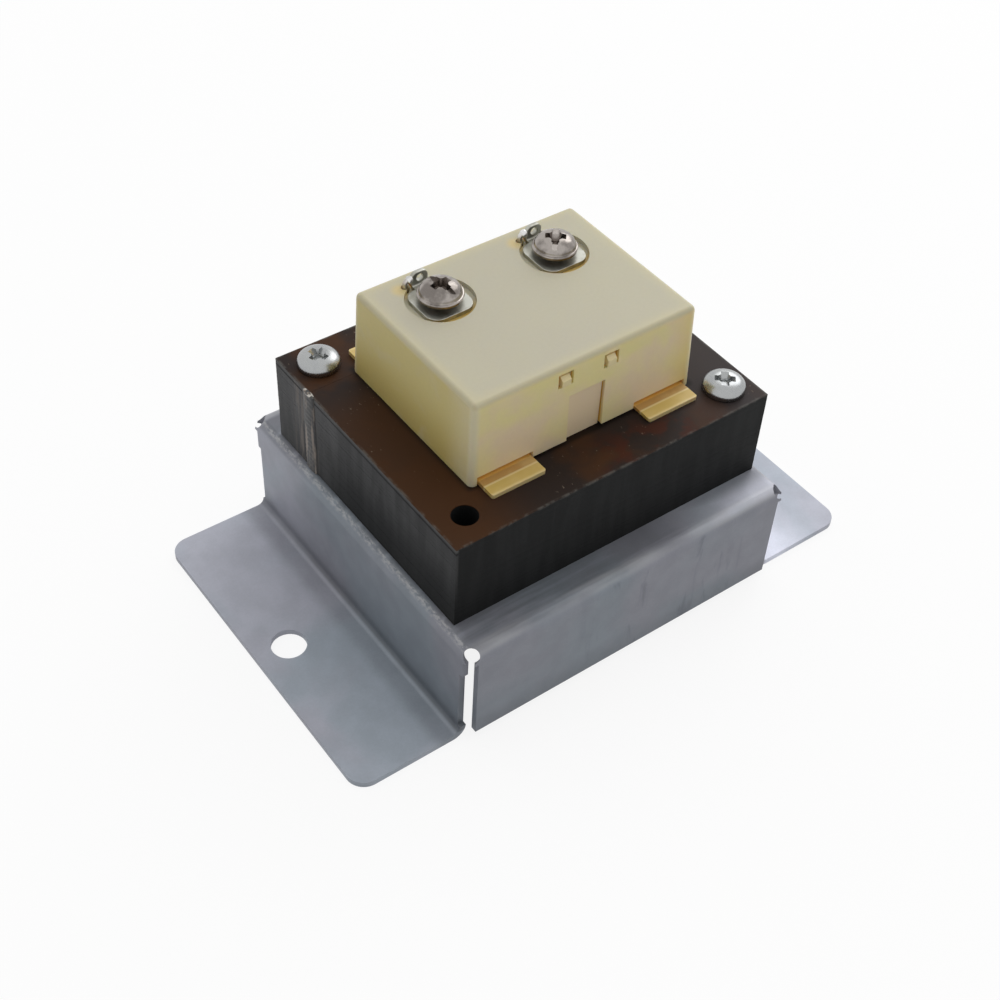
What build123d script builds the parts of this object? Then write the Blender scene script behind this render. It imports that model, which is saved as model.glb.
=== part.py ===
from build123d import *

import math
import os

os.makedirs("parts", exist_ok=True)

# A class 2 low voltage transformer on a formed steel mounting plate.
# The laminated core lies flat on a raised platform. The coil stands through a window
# in the platform, so half of it is above the core and half is in the hollow below.
# Millimetres. The origin is on the floor, below the middle of the platform.
# X runs from wing to wing, the front is at -Y, and Z points up.

# Core, in the scrapless proportions of an E and I lamination
tongue_width = 22.225
stack_height = 18.2
lamination_hole_clearance = 0.3

# Mounting plate
sheet_thickness = 1.2
inner_bend_radius = 1.4
platform_side_margin = 2.06
platform_end_margin = 7.42
platform_height = 22.9
flange_floor_gap = 2.0
wing_reach = 20.8
wing_corner_radius = 3.5
wing_hole = 6.6
wing_hole_to_edge = 6.6
corner_setback = 1.9
corner_relief_hole = 2.8
corner_slit = 1.6
side_wall_relief = 0.8
side_wall_relief_drop = 6.5
window_corner_radius = 2.0
window_clearance = 0.45

# Bobbin
bobbin_wall = 1.0
bobbin_clearance = 0.15
flange_thickness = 1.0
flange_side_clearance = 0.25
flange_top_clearance = 0.25
ear_thickness = 0.8
ear_width = 10.9
ear_overhang = 0.0
ear_reach = 5.3
ear_corner_radius = 0.4
nose_width = 1.8
nose_height = 1.9
nose_land = 1.2
nose_crest = 0.5
nose_recess = 0.1
nose_spacing = 9.5
key_width = 7.1
key_height = 9.8
key_thickness = 0.5

# Windings, each a radial build round the bobbin tube
primary_build = 4.1
barrier_build = 0.4
secondary_build = 3.7
wrap_build = 0.5
winding_end_gap = 0.2

# Covers
cover_wall = 1.1
cover_roof = 1.4
cover_end_clearance = 0.2
cover_side_clearance = 0.5
cover_edge_radius = 1.0
cover_inner_radius = 0.5
cover_skirt_rise = 0.4
ear_slot_room = 0.9
latch_side_room = 0.65
latch_top_room = 0.7
latch_seat_clearance = 0.2
window_to_roof = 0.1
cover_draft = 1.6
slot_clearance = 0.25
lead_room = 3.15
primary_exit_hole = 3.4
primary_exit_spacing = 16.0
primary_exit_to_middle = 7.8

# Screws, nuts and washers, for a number 8 machine screw
screw_diameter = 4.1
screw_clearance = 0.25
pan_head_diameter = 7.7
pan_head_height = 2.4
pan_crown_width = 0.9
core_screw_stickout = 1.8
binding_head_diameter = 8.1
binding_head_height = 2.6
binding_crown_width = 1.3
terminal_screw_stickout = 0.7
screw_tip_clearance = 1.75
recess_arm_length = 4.3
recess_arm_width = 0.95
recess_depth = 1.5
hex_nut_width = 8.7
hex_nut_height = 3.2
lock_washer_diameter = 7.4
lock_washer_height = 1.0
lock_washer_cut = 0.8
lock_washer_cut_angle = 25

# Terminals
terminal_spacing = 24.1
terminal_to_coil_end = 8.619
terminal_pocket_clearance = 0.6
terminal_pocket_depth = 0.9
plate_side = 9.2
plate_corner_radius = 2.4
plate_thickness = 0.8
plate_hole_clearance = 0.15
screw_raise = 1.0
lug_width = 3.2
lug_height = 2.4
lug_hole = 1.4
lug_to_screw = 5.9
lug_bend_radius = 0.4
lug_side_clearance = 0.3
lug_offset = -0.4
lug_tip_radius = 1.1
square_nut_width = 7.9
square_nut_height = 2.6
nut_web = 1.3
nut_clearance = 0.15
boss_wall = 1.2
boss_lip = 0.1
lead_diameter = 0.9
lead_hole_clearance = 0.25
lead_to_lug = 1.2
solder_spread = 0.5
solder_length = 0.5

# Welds at the joint of the E and the I
weld_width = 3.6
weld_rise = 0.5

# Sizes that follow from those above
core_width = 3 * tongue_width
core_depth = 2.5 * tongue_width
window_width = 0.5 * tongue_width
window_length = 1.5 * tongue_width
platform_length = core_width + 2 * platform_side_margin
platform_width = core_depth + 2 * platform_end_margin
core_bottom = platform_height
core_top = core_bottom + stack_height
hole_x = core_width / 2 - tongue_width / 4
hole_y = core_depth / 2 - tongue_width / 4
outer_bend_radius = inner_bend_radius + sheet_thickness
bend_bottom = platform_height - outer_bend_radius
wing_tip = platform_length / 2 + wing_reach
wing_width = platform_width - 2 * corner_setback
joint_y = window_length / 2
lamination_hole = screw_diameter + 2 * lamination_hole_clearance
screw_hole = screw_diameter + 2 * screw_clearance
core_screw_length = (
    stack_height + sheet_thickness + lock_washer_height + hex_nut_height + core_screw_stickout)
terminal_screw_length = (
    screw_raise + plate_thickness + nut_web + square_nut_height + terminal_screw_stickout)

tube_width = tongue_width + 2 * (bobbin_clearance + bobbin_wall)
tube_height = stack_height + 2 * (bobbin_clearance + bobbin_wall)
coil_middle = core_bottom + stack_height / 2
flange_outer_y = window_length / 2 - bobbin_clearance
flange_inner_y = flange_outer_y - flange_thickness
flange_width = tongue_width + 2 * (window_width - flange_side_clearance)
winding_length = 2 * (flange_inner_y - winding_end_gap)
ear_x = flange_width / 2 + ear_overhang - ear_width / 2
coil_reach = tube_height / 2 + primary_build + barrier_build + secondary_build + wrap_build
coil_top = coil_middle + coil_reach
coil_bottom = coil_middle - coil_reach

cavity_width = flange_width + 2 * cover_side_clearance
cavity_depth = 2 * flange_outer_y + 2 * cover_end_clearance
cover_width = cavity_width + 2 * cover_wall
cover_depth = cavity_depth + 2 * cover_wall
nut_stack = nut_web + square_nut_height + terminal_screw_stickout
cover_top = coil_top + screw_tip_clearance + nut_stack + terminal_pocket_depth
cover_bottom = coil_bottom - lead_room - cover_roof
upper_cover_height = cover_top - core_top
lower_cover_height = core_bottom - cover_bottom
ceiling = cover_top - cover_roof
cover_floor = cover_bottom + cover_roof
flange_top = ceiling - flange_top_clearance
flange_bottom = cover_floor + flange_top_clearance
upper_nose_z = ceiling - window_to_roof - latch_top_room
lower_nose_z = cover_floor + window_to_roof + latch_top_room
latch_window_width = nose_width + 2 * latch_side_room
latch_window_height = nose_height + latch_top_room + latch_seat_clearance
nose_reach = cover_end_clearance + cover_wall - nose_recess

terminal_x = terminal_spacing / 2
terminal_y = flange_outer_y - terminal_to_coil_end
plate_corner_reach = plate_side / math.sqrt(2) - (math.sqrt(2) - 1) * plate_corner_radius
terminal_pocket_diameter = 2 * (plate_corner_reach + terminal_pocket_clearance)
plate_bottom = cover_top - terminal_pocket_depth
plate_top = plate_bottom + plate_thickness
nut_top = plate_bottom - nut_web
nut_bottom = nut_top - square_nut_height
boss_bottom = nut_bottom - boss_lip
boss_side = square_nut_width + 2 * (nut_clearance + boss_wall)
lead_hole = lead_diameter + 2 * lead_hole_clearance
lead_x_offset = lug_offset - (lug_width / 2 + lead_to_lug)
solder_radius = lead_diameter / 2 + solder_spread
lug_top = cover_top + lug_height
lug_hole_z = cover_top + lug_height / 2


def upright(shape):
    """Turn a section drawn in X and Y so that its Y is up and it is pulled along Y."""
    return Plane.XZ * shape


def bent_section(face_line, thickness, side):
    """The section of a bent strip, from the line of one of its faces."""
    return make_face(face_line.wire().offset_2d(thickness, side=side, closed=True).edges())


def rounded_block(width, depth, height, radius):
    """A block on the XY plane with rounded upright edges."""
    return extrude(RectangleRounded(width, depth, radius), height)


def platform_cap():
    """The flat top of the mounting plate with its four top bends."""
    outer = Pos(0, 0, platform_height) * Box(
        platform_length, platform_width, 2 * platform_height, align=(Align.CENTER, Align.CENTER, Align.MAX))
    outer = fillet(outer.faces().sort_by(Axis.Z)[-1].edges(), outer_bend_radius)
    inner = Pos(0, 0, platform_height - sheet_thickness) * Box(
        platform_length - 2 * sheet_thickness, platform_width - 2 * sheet_thickness, 2 * platform_height,
        align=(Align.CENTER, Align.CENTER, Align.MAX))
    inner = fillet(inner.faces().sort_by(Axis.Z)[-1].edges(), inner_bend_radius)
    keep = Pos(0, 0, bend_bottom) * Box(
        2 * platform_length, 2 * platform_width, platform_height,
        align=(Align.CENTER, Align.CENTER, Align.MIN))
    return (outer - inner) & keep


def side_wall_and_wing():
    """The right side wall, bent out at the floor into a fixing wing."""
    wall_x = platform_length / 2
    face_line = FilletPolyline(
        (wall_x, bend_bottom), (wall_x, sheet_thickness), (wing_tip, sheet_thickness),
        radius=inner_bend_radius)
    section = bent_section(face_line, sheet_thickness, Side.RIGHT)
    strip = extrude(upright(section), wing_width / 2, both=True)
    tip_edges = strip.edges().filter_by(Axis.Z).group_by(Axis.X)[-1]
    strip = fillet(tip_edges, wing_corner_radius)
    relief_top = platform_height - side_wall_relief_drop
    relief_bottom = sheet_thickness + inner_bend_radius
    for end in (-1, 1):
        notch = Box(3 * sheet_thickness, 2 * side_wall_relief, relief_top - relief_bottom)
        place = Pos(wall_x, end * wing_width / 2, (relief_top + relief_bottom) / 2)
        strip -= place * notch
    hole_x_place = wing_tip - wing_hole_to_edge
    strip -= Pos(hole_x_place, 0, 0) * Cylinder(wing_hole / 2, 4 * sheet_thickness)
    return strip


def end_flange():
    """The front wall, which stops short of the floor."""
    height = bend_bottom - flange_floor_gap
    block = Box(platform_length - 2 * corner_setback, sheet_thickness, height)
    return Pos(0, -(platform_width - sheet_thickness) / 2, flange_floor_gap + height / 2) * block


def corner_relief():
    """The relief at the front left corner: a round hole where two bends meet, and the slit below it."""
    inset = outer_bend_radius / 2
    centre = Pos(inset - platform_length / 2, inset - platform_width / 2, platform_height - inset)
    hole = Plane(origin=(0, 0, 0), z_dir=(-1, -1, 1)) * Cylinder(corner_relief_hole / 2, 8 * sheet_thickness)
    slit = Rot(0, 0, 45) * Box(
        platform_height, corner_slit, platform_height, align=(Align.MAX, Align.CENTER, Align.MAX))
    return centre * (hole + slit)


def mounting_plate():
    """One folded sheet: platform, two walls with wings, and two end flanges."""
    right = side_wall_and_wing()
    front = end_flange()
    plate = platform_cap() + right + mirror(right, about=Plane.YZ) + front + mirror(front, about=Plane.XZ)
    window = rounded_block(
        cover_width + 2 * window_clearance, cover_depth + 2 * window_clearance, 4 * sheet_thickness,
        window_corner_radius)
    plate -= Pos(0, 0, platform_height - 2 * sheet_thickness) * window
    relief = corner_relief()
    for cutter in (relief, mirror(relief, about=Plane.YZ)):
        plate -= cutter
        plate -= mirror(cutter, about=Plane.XZ)
    drill = Cylinder(screw_hole / 2, 4 * sheet_thickness)
    for side in (-1, 1):
        plate -= Pos(side * hole_x, -side * hole_y, platform_height) * drill
    return plate


def lamination_holes(y):
    """Two through holes for one row of the core."""
    drill = Cylinder(lamination_hole / 2, 3 * stack_height)
    return Pos(-hole_x, y, core_bottom) * drill + Pos(hole_x, y, core_bottom) * drill


def e_stack():
    """The E laminations: a front yoke and three legs that point back."""
    outline = Rectangle(core_width, core_depth - tongue_width / 2)
    outline = Pos(0, -tongue_width / 4) * outline
    slot = Rectangle(window_width, window_length)
    slot_x = (tongue_width + window_width) / 2
    for side in (-1, 1):
        outline -= Pos(side * slot_x, 0) * slot
    stack = Pos(0, 0, core_bottom) * extrude(outline, stack_height)
    return stack - lamination_holes(-hole_y)


def i_stack():
    """The I laminations: the back yoke that closes the core."""
    bar = Box(core_width, tongue_width / 2, stack_height, align=(Align.CENTER, Align.MIN, Align.MIN))
    return Pos(0, joint_y, core_bottom) * bar - lamination_holes(hole_y)


def weld_bead(side):
    """A low weld run down one end of the joint."""
    radius = (weld_width ** 2 / 4 + weld_rise ** 2) / (2 * weld_rise)
    bead = Circle(radius) & Pos(radius, 0) * Rectangle(2 * weld_rise, weld_width)
    run = extrude(Pos(core_width / 2 + weld_rise - radius, joint_y) * bead, stack_height)
    run = Pos(0, 0, core_bottom) * run
    core_block = Box(core_width, 2 * core_depth, 4 * core_top)
    run -= core_block
    return run if side > 0 else mirror(run, about=Plane.YZ)


def ring_section(inner_width, inner_height, inner_radius, build):
    """A rounded rectangular ring, as a winding has round a square tube."""
    outer = RectangleRounded(inner_width + 2 * build, inner_height + 2 * build, inner_radius + build)
    return outer - RectangleRounded(inner_width, inner_height, inner_radius)


def winding(start_build, build):
    """A wound layer of one radial build that starts at a given build above the tube."""
    section = ring_section(
        tube_width + 2 * start_build, tube_height + 2 * start_build, bobbin_wall + start_build, build)
    return Pos(0, 0, coil_middle) * extrude(upright(section), winding_length / 2, both=True)


def bobbin_end():
    """The front flange of the bobbin with its ears, latch noses and cover key."""
    height = flange_top - flange_bottom
    flange = Pos(0, -flange_outer_y, flange_bottom) * Box(
        flange_width, flange_thickness, height, align=(Align.CENTER, Align.MIN, Align.MIN))
    flange = fillet(flange.edges().filter_by(Axis.Y), bobbin_wall)
    for side in (-1, 1):
        ear = Box(ear_width, ear_reach, ear_thickness, align=(Align.CENTER, Align.MAX, Align.MIN))
        ear = fillet(ear.edges().filter_by(Axis.Z).group_by(Axis.Y)[0], ear_corner_radius)
        flange += Pos(side * ear_x, -flange_outer_y, core_top) * ear
        nose_place = Pos(side * nose_spacing / 2, -flange_outer_y, 0)
        flange += nose_place * Pos(0, 0, upper_nose_z - nose_height) * latch_nose()
        flange += nose_place * Pos(0, 0, lower_nose_z + nose_height) * mirror(latch_nose(), about=Plane.XY)
    key = Box(key_width, key_thickness, key_height, align=(Align.CENTER, Align.MAX, Align.MIN))
    return flange + Pos(0, -flange_outer_y, core_top + bobbin_clearance) * key


def latch_nose():
    """A wedge that holds the cover: square below, sloped above, where the cover slides on."""
    wedge = make_face(Polyline(
        (0, 0), (-nose_reach, 0), (-nose_reach, nose_land), (-nose_crest, nose_height), (0, nose_height),
        close=True))
    return extrude(Plane.YZ * wedge, nose_width / 2, both=True)


def bobbin():
    """A moulded tube round the tongue with a flange at each end."""
    outer = RectangleRounded(tube_width, tube_height, bobbin_wall)
    tube = Pos(0, 0, coil_middle) * extrude(upright(outer), flange_outer_y, both=True)
    front = bobbin_end()
    body = tube + front + mirror(front, about=Plane.XZ)
    bore = Box(tongue_width + 2 * bobbin_clearance, 2 * core_depth, stack_height + 2 * bobbin_clearance)
    return body - Pos(0, 0, coil_middle) * bore


def cover_shell(height, rounded_rim):
    """A drafted cover on the XY plane, open below, without its holes."""
    outer = extrude(Rectangle(cover_width, cover_depth), height, taper=cover_draft)
    corners, rim = outer.edges().group_by(Axis.Z)[1:]
    outer = fillet(corners + rim if rounded_rim else corners, cover_edge_radius)
    cavity = rounded_block(cavity_width, cavity_depth, height - cover_roof, cover_inner_radius)
    return outer - cavity


def cover_windows(middle_z):
    """Four windows for the latch noses, as one cutter, about a given height."""
    hole = Pos(0, 0, middle_z) * Box(latch_window_width, 2 * cover_depth, latch_window_height)
    return Pos(-nose_spacing / 2, 0, 0) * hole + Pos(nose_spacing / 2, 0, 0) * hole


def terminal_pocket():
    """What one terminal needs cut in the roof, about the screw's axis at the roof's top."""
    pocket = Pos(0, 0, -terminal_pocket_depth) * Cylinder(
        terminal_pocket_diameter / 2, 2 * terminal_pocket_depth,
        align=(Align.CENTER, Align.CENTER, Align.MIN))
    slot = Pos(lug_offset, 0, -terminal_pocket_depth) * Box(
        lug_width + 2 * lug_side_clearance, lug_to_screw + plate_thickness, 2 * terminal_pocket_depth,
        align=(Align.CENTER, Align.MIN, Align.MIN))
    bore = Cylinder(screw_hole / 2, 4 * upper_cover_height)
    nut_pocket_width = square_nut_width + 2 * nut_clearance
    nut_room = Pos(0, 0, nut_top - cover_top) * Box(
        nut_pocket_width, nut_pocket_width, upper_cover_height, align=(Align.CENTER, Align.CENTER, Align.MAX))
    lead = Pos(lead_x_offset, lug_to_screw, 0) * Cylinder(lead_hole / 2, 4 * upper_cover_height)
    return pocket + slot + bore + nut_room + lead


def terminal_cover():
    """The upper cover, which also carries the two screw terminals."""
    cover = Pos(0, 0, core_top) * cover_shell(upper_cover_height, rounded_rim=True)
    boss = Box(boss_side, boss_side, ceiling - boss_bottom, align=(Align.CENTER, Align.CENTER, Align.MIN))
    for side in (-1, 1):
        cover += Pos(side * terminal_x, terminal_y, boss_bottom) * boss
    for side in (-1, 1):
        cover -= Pos(side * terminal_x, terminal_y, cover_top) * terminal_pocket()
    cover -= cover_windows(ceiling - window_to_roof - latch_window_height / 2)
    notch_height = key_height + slot_clearance + bobbin_clearance
    cover -= Pos(0, 0, core_top) * Box(
        key_width + 2 * slot_clearance, 2 * cover_depth, notch_height,
        align=(Align.CENTER, Align.CENTER, Align.MIN))
    ear_height = ear_thickness + ear_slot_room
    for side in (-1, 1):
        cover -= Pos(side * ear_x, 0, core_top) * Box(
            ear_width + 2 * slot_clearance, 2 * cover_depth, ear_height,
            align=(Align.CENTER, Align.CENTER, Align.MIN))
    return cover - Pos(0, 0, core_top) * Box(
        2 * ear_x, 2 * cover_depth, cover_skirt_rise, align=(Align.CENTER, Align.CENTER, Align.MIN))


def lower_cover():
    """The plain cover of the coil's lower half, with the two exits of the primary leads."""
    shell = cover_shell(lower_cover_height, rounded_rim=False)
    cover = Pos(0, 0, core_bottom) * mirror(shell, about=Plane.XY)
    cover -= cover_windows(cover_floor + window_to_roof + latch_window_height / 2)
    drill = Cylinder(primary_exit_hole / 2, 4 * cover_roof)
    for side in (-1, 1):
        cover -= Pos(side * primary_exit_spacing / 2, primary_exit_to_middle, cover_bottom) * drill
    return cover


def cross_recess():
    """A cross recess that hangs from the XY plane."""
    arms = Rectangle(recess_arm_length, recess_arm_width) + Rectangle(recess_arm_width, recess_arm_length)
    return extrude(arms, -recess_depth)


def machine_screw(head_diameter, head_height, crown_width, length):
    """A screw with a crowned head and a cross recess, seated at the XY plane."""
    head = Cylinder(head_diameter / 2, head_height, align=(Align.CENTER, Align.CENTER, Align.MIN))
    head = chamfer(head.edges().sort_by(Axis.Z)[-1], crown_width)
    shank = Cylinder(screw_diameter / 2, length, align=(Align.CENTER, Align.CENTER, Align.MAX))
    return head - Pos(0, 0, head_height) * cross_recess() + shank


def core_screw():
    """A pan head screw that holds the core down."""
    return machine_screw(pan_head_diameter, pan_head_height, pan_crown_width, core_screw_length)


def terminal_screw():
    """A binding head screw that clamps a wire to its plate."""
    return machine_screw(
        binding_head_diameter, binding_head_height, binding_crown_width, terminal_screw_length)


def hex_nut():
    """A plain hexagon nut that hangs from the XY plane."""
    blank = extrude(RegularPolygon(hex_nut_width / 2, 6, major_radius=False), -hex_nut_height)
    return blank - Cylinder(screw_diameter / 2, 4 * hex_nut_height)


def lock_washer():
    """A split spring washer that hangs from the XY plane."""
    ring = Cylinder(
        lock_washer_diameter / 2, lock_washer_height, align=(Align.CENTER, Align.CENTER, Align.MAX))
    ring -= Cylinder(screw_diameter / 2, 4 * lock_washer_height)
    gap = Box(
        lock_washer_diameter, lock_washer_cut, 4 * lock_washer_height,
        align=(Align.MIN, Align.CENTER, Align.CENTER))
    return ring - Rot(lock_washer_cut_angle, 0, 0) * gap


def square_nut():
    """A square nut that hangs from the XY plane."""
    blank = Box(
        square_nut_width, square_nut_width, square_nut_height,
        align=(Align.CENTER, Align.CENTER, Align.MAX))
    return blank - Cylinder(screw_diameter / 2, 4 * square_nut_height)


def terminal_plate():
    """A flat plate with its solder lug bent up behind the screw, seated at the XY plane."""
    plate = rounded_block(plate_side, plate_side, plate_thickness, plate_corner_radius)
    lug_rise = lug_top - plate_bottom
    lug_face = lug_to_screw - plate_thickness / 2
    face_line = FilletPolyline(
        (0, plate_thickness), (lug_face, plate_thickness), (lug_face, lug_rise), radius=lug_bend_radius)
    strip = extrude(Plane.YZ * bent_section(face_line, plate_thickness, Side.RIGHT), lug_width / 2, both=True)
    tip_edges = strip.edges().filter_by(Axis.Y).group_by(Axis.Z)[-1]
    strip = Pos(lug_offset, 0, 0) * fillet(tip_edges, lug_tip_radius)
    eye = Rot(90, 0, 0) * Cylinder(lug_hole / 2, 4 * plate_thickness)
    strip -= Pos(lug_offset, lug_to_screw, lug_hole_z - plate_bottom) * eye
    return plate + strip - Cylinder(screw_diameter / 2 + plate_hole_clearance, 4 * plate_thickness)


def coil_envelope():
    """The whole wound coil as one block."""
    build = coil_reach - tube_height / 2
    section = RectangleRounded(tube_width + 2 * build, tube_height + 2 * build, bobbin_wall + build)
    return Pos(0, 0, coil_middle) * extrude(upright(section), winding_length / 2, both=True)


def secondary_lead(side):
    """The bare end of a secondary lead, from the coil's surface up through the roof to its solder."""
    path = Polyline(
        (lead_x_offset, 0, coil_middle), (lead_x_offset, 0, lug_hole_z),
        (lug_offset - lug_width / 2 - solder_length, 0, lug_hole_z))
    start = Plane(origin=(lead_x_offset, 0, coil_middle), z_dir=(0, 0, 1))
    lead = sweep(start * Circle(lead_diameter / 2), path=path, transition=Transition.RIGHT)
    return Pos(side * terminal_x, terminal_y + lug_to_screw, 0) * lead - coil_envelope()


def solder_joint():
    """A cone of solder that joins the end of the lead to the lug's edge."""
    drop = Cone(
        solder_radius, lead_diameter / 2, solder_length, align=(Align.CENTER, Align.CENTER, Align.MIN))
    return Pos(lug_offset - lug_width / 2, 0, lug_hole_z) * Rot(0, -90, 0) * drop


def place_terminal(side, shape, z=0.0):
    """Move a terminal piece to the left or right screw's axis."""
    return Pos(side * terminal_x, terminal_y, z) * shape


nodes = {
    "mounting_plate": mounting_plate(),
    "e_lamination_stack": e_stack(),
    "i_lamination_stack": i_stack(),
    "coil_bobbin": bobbin(),
    "primary_winding": winding(0, primary_build),
    "barrier_tape": winding(primary_build, barrier_build),
    "secondary_winding": winding(primary_build + barrier_build, secondary_build),
    "outer_coil_wrap": winding(primary_build + barrier_build + secondary_build, wrap_build),
    "terminal_cover": terminal_cover(),
    "lower_coil_cover": lower_cover(),
}

for name, side in (("left", -1), ("right", 1)):
    nodes["core_weld_" + name] = weld_bead(side)
    nodes["terminal_plate_" + name] = place_terminal(side, terminal_plate(), plate_bottom)
    nodes["terminal_screw_" + name] = place_terminal(side, terminal_screw(), plate_top + screw_raise)
    nodes["terminal_nut_" + name] = place_terminal(side, square_nut(), nut_top)
    nodes["secondary_lead_" + name] = secondary_lead(side)
    nodes["solder_joint_" + name] = place_terminal(side, Pos(0, lug_to_screw, 0) * solder_joint())
    screw_place = Pos(side * hole_x, -side * hole_y, 0)
    washer_top = platform_height - sheet_thickness
    nodes["core_screw_" + name] = screw_place * Pos(0, 0, core_top) * core_screw()
    nodes["lock_washer_" + name] = screw_place * Pos(0, 0, washer_top) * lock_washer()
    nodes["core_nut_" + name] = screw_place * Pos(0, 0, washer_top - lock_washer_height) * hex_nut()

for name, shape in nodes.items():
    export_step(shape, "parts/" + name + ".step")
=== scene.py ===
import math

import bmesh
import bpy
from mathutils import Matrix, Vector, noise


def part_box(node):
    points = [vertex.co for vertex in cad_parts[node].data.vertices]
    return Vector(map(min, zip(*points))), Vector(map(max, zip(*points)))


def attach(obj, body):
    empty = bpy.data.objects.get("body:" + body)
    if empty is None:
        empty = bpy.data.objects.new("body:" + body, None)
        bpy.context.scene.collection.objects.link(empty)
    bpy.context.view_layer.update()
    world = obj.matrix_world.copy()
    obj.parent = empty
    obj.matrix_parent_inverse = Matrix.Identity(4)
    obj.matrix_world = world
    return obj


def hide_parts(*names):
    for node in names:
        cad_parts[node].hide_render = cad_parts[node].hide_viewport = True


bl_info = {
    "name": "Low voltage transformer",
    "version": (1, 0, 0),
    "blender": (4, 5, 0),
    "location": "View3D > Sidebar > Transformer",
    "description": "Finishes and fine pieces of an open-frame transformer on its packed parts",
    "category": "Object",
}

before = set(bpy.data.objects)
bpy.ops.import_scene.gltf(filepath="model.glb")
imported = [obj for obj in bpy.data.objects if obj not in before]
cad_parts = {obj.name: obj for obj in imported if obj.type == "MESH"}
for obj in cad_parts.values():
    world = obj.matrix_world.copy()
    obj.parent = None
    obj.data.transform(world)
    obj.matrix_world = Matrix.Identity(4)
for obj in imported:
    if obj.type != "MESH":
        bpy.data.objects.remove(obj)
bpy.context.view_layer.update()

# Pieces are modelled in millimetres and made small at the end.
MM = 0.001
SIDES = (("left", -1), ("right", 1))


def box_mm(node):
    """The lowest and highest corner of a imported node, in millimetres."""
    low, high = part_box(node)
    return low / MM, high / MM


PLATE_HIGH = box_mm("mounting_plate")[1]
E_LOW, E_HIGH = box_mm("e_lamination_stack")
I_LOW, I_HIGH = box_mm("i_lamination_stack")
COVER_HIGH = box_mm("terminal_cover")[1]
TERMINAL = sum(box_mm("terminal_screw_right"), Vector((0, 0, 0))) / 2
CORE_TOP = E_HIGH.z
CORE_BOTTOM = E_LOW.z
CORE_X = E_HIGH.x
CORE_FRONT = -E_LOW.y
CORE_BACK = I_HIGH.y
JOINT_Y = I_LOW.y
COVER_DRAFT = math.tan(math.radians(1.6))
PLATFORM_HALF_DEPTH = PLATE_HIGH.y
PLATFORM_TOP = PLATE_HIGH.z
PLATFORM_HALF_LENGTH = max(
    vert.co.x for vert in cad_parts["mounting_plate"].data.vertices
    if vert.co.z > PLATFORM_TOP * MM / 2) / MM
WING_TOP = 1.2
BEND_RADIUS = 1.4
TERMINAL_POCKET_RADIUS = 6.5
# How far each lead comes up to the left of its terminal, and behind it
LEAD_FROM_TERMINAL = (4.2, 5.6)

# How much of a lamination's pitch is steel
SHEET_SHARE = 0.97

# Screws. Heights are above the seat, and a turn is the recess's round its axis.
SHANK_RADIUS = 2.05
PAN_HEIGHT = 2.4
BINDING_HEIGHT = 2.6
RECESS_WIDTH = 1.75
PAN_RECESS_DEPTH = 1.0
BINDING_RECESS_DEPTH = 1.7
SCREW_TURNS = {
    "core_screw_left": math.radians(20), "core_screw_right": math.radians(50),
    "terminal_screw_left": math.radians(-81), "terminal_screw_right": math.radians(50)}

# Leads and their solder
LEAD_BEND = 0.7
BLOB_RADIUS = 0.86
BLOB_SHAPE = (0.78, 0.85, 0.80)

# The stage, in metres, with the floor's grey as it is seen and as it lights the object
FLOOR_HALF_WIDTH = 3.0
FLOOR_GAP = 0.00002
FLOOR_SEEN = 0.95
FLOOR_LIGHTING = 0.62
FLOOR_GLOW = 0.87
# The world's light fades between these cosines of the angle to its bright side
FILL_FADE = (-0.3, 0.95)
LAMP_WIDTH = 0.5
LAMP_PLACE = (0.62, 0.30, 0.52)
LAMP_AIM = (0, 0, 0.03)


class Tone:
    """The finishes' second colours, beside those of the sidebar."""

    ZINC_SCUFFED = (0.13, 0.135, 0.17)
    ZINC_WORN_HIGHLIGHT = (0.60, 0.60, 0.60)
    CORE_SHEEN_GREY = (0.046, 0.038, 0.038)
    CORE_RED = (0.060, 0.014, 0.006)
    CORE_FLECK = (0.32, 0.26, 0.20)
    CORE_SHADE = (0.006, 0.004, 0.003)
    CORE_PAINTED_LIGHT_SIDE = (0.110, 0.110, 0.112)
    CORE_DRIP = (0.26, 0.225, 0.20)
    CORE_TOP_SHEET = (0.13, 0.13, 0.125)
    CORE_PARTING = (0.006, 0.006, 0.006)
    CORE_RUBBED = (0.13, 0.125, 0.115)
    WELD_VARNISHED = (0.060, 0.060, 0.060)
    WELD_RUN = (0.26, 0.22, 0.19)
    WELD_BARE = (0.55, 0.52, 0.48)
    END_YELLOW = (0.88, 0.74, 0.39)
    END_PINK = (0.86, 0.68, 0.46)
    END_BAND = (0.86, 0.75, 0.32)
    END_CORNER = (0.84, 0.65, 0.22)
    SIDE_PAINTED_SHADE = (0.65, 0.52, 0.18)
    SIDE_CLOUD = (0.70, 0.60, 0.34)
    SIDE_FRONT = (0.80, 0.70, 0.42)
    IVORY_WARM = (0.515, 0.482, 0.350)
    IVORY_RIM_HIGHLIGHT = (0.62, 0.56, 0.33)
    IVORY_CORNER_HIGHLIGHT = (0.86, 0.80, 0.60)
    IVORY_CUT_GLOW = (0.95, 0.58, 0.14)
    POCKET_BACK = (0.50, 0.465, 0.34)
    POCKET_FRONT_SHADOW = (0.54, 0.37, 0.10)
    LEAD_SHADOW = (0.72, 0.53, 0.16)
    OCHRE_INSIDE_GLOW = (0.88, 0.53, 0.12)
    OCHRE_SHADED = (0.48, 0.28, 0.085)
    OCHRE_CLOUD = (0.700, 0.540, 0.230)
    OCHRE_EDGE_HIGHLIGHT = (0.80, 0.66, 0.36)
    KEY_FACE = (0.87, 0.70, 0.47)
    LATCH_FACE = (0.84, 0.71, 0.39)
    COPPER_DARK = (0.30, 0.08, 0.03)
    TAPE_PALE = (0.66, 0.55, 0.22)


def length_property(name, description, default, low, high):
    """A length in the sidebar, in millimetres."""
    return bpy.props.FloatProperty(
        name=name, description=description + ", in millimetres", default=default, min=low, max=high)


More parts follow.
